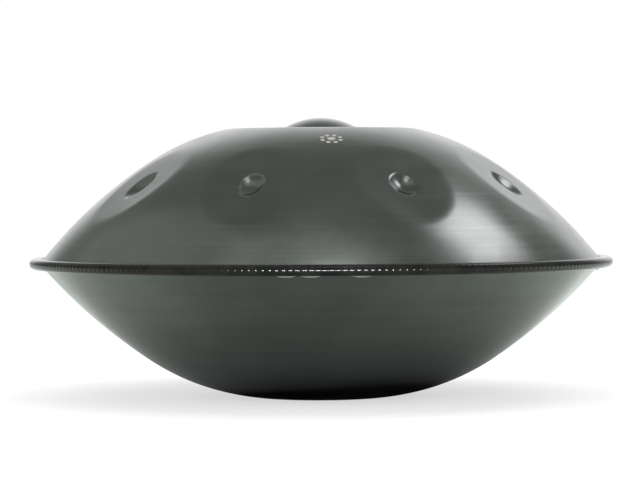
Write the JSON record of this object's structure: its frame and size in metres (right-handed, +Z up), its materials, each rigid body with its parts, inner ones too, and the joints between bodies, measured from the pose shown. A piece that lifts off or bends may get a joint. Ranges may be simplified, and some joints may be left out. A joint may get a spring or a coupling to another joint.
{
  "type": "handpan",
  "caption": "Handpan: two drawn steel shells glued at a trimmed rim, a domed centre note ringed by oval dimpled tone fields above, and a round sound port below.",
  "frame": {"origin": "centre of the flat ring round the sound port that the instrument rests on", "axes": "+Z up along the instrument's axis, -Y towards the audience side, +X to the right seen from there"},
  "size_m": [0.536, 0.5359, 0.2561],
  "materials": {
    "shell_steel": "satin, dark heat-treated grey-green",
    "seam_epoxy": "cured amber epoxy",
    "trim_plastic": "ribbed dark grey flexible PVC, low sheen",
    "clip_steel": "plain stamped spring steel",
    "clear_adhesive": "clear glossy bead"
  },
  "bodies": {
    "root": {"top_shell": "shell_steel", "bottom_shell": "shell_steel", "seam_adhesive": "seam_epoxy", "trim_cover": "trim_plastic", "trim_clips": "clip_steel", "trim_adhesive": "clear_adhesive"}
  },
  "joints": []
}
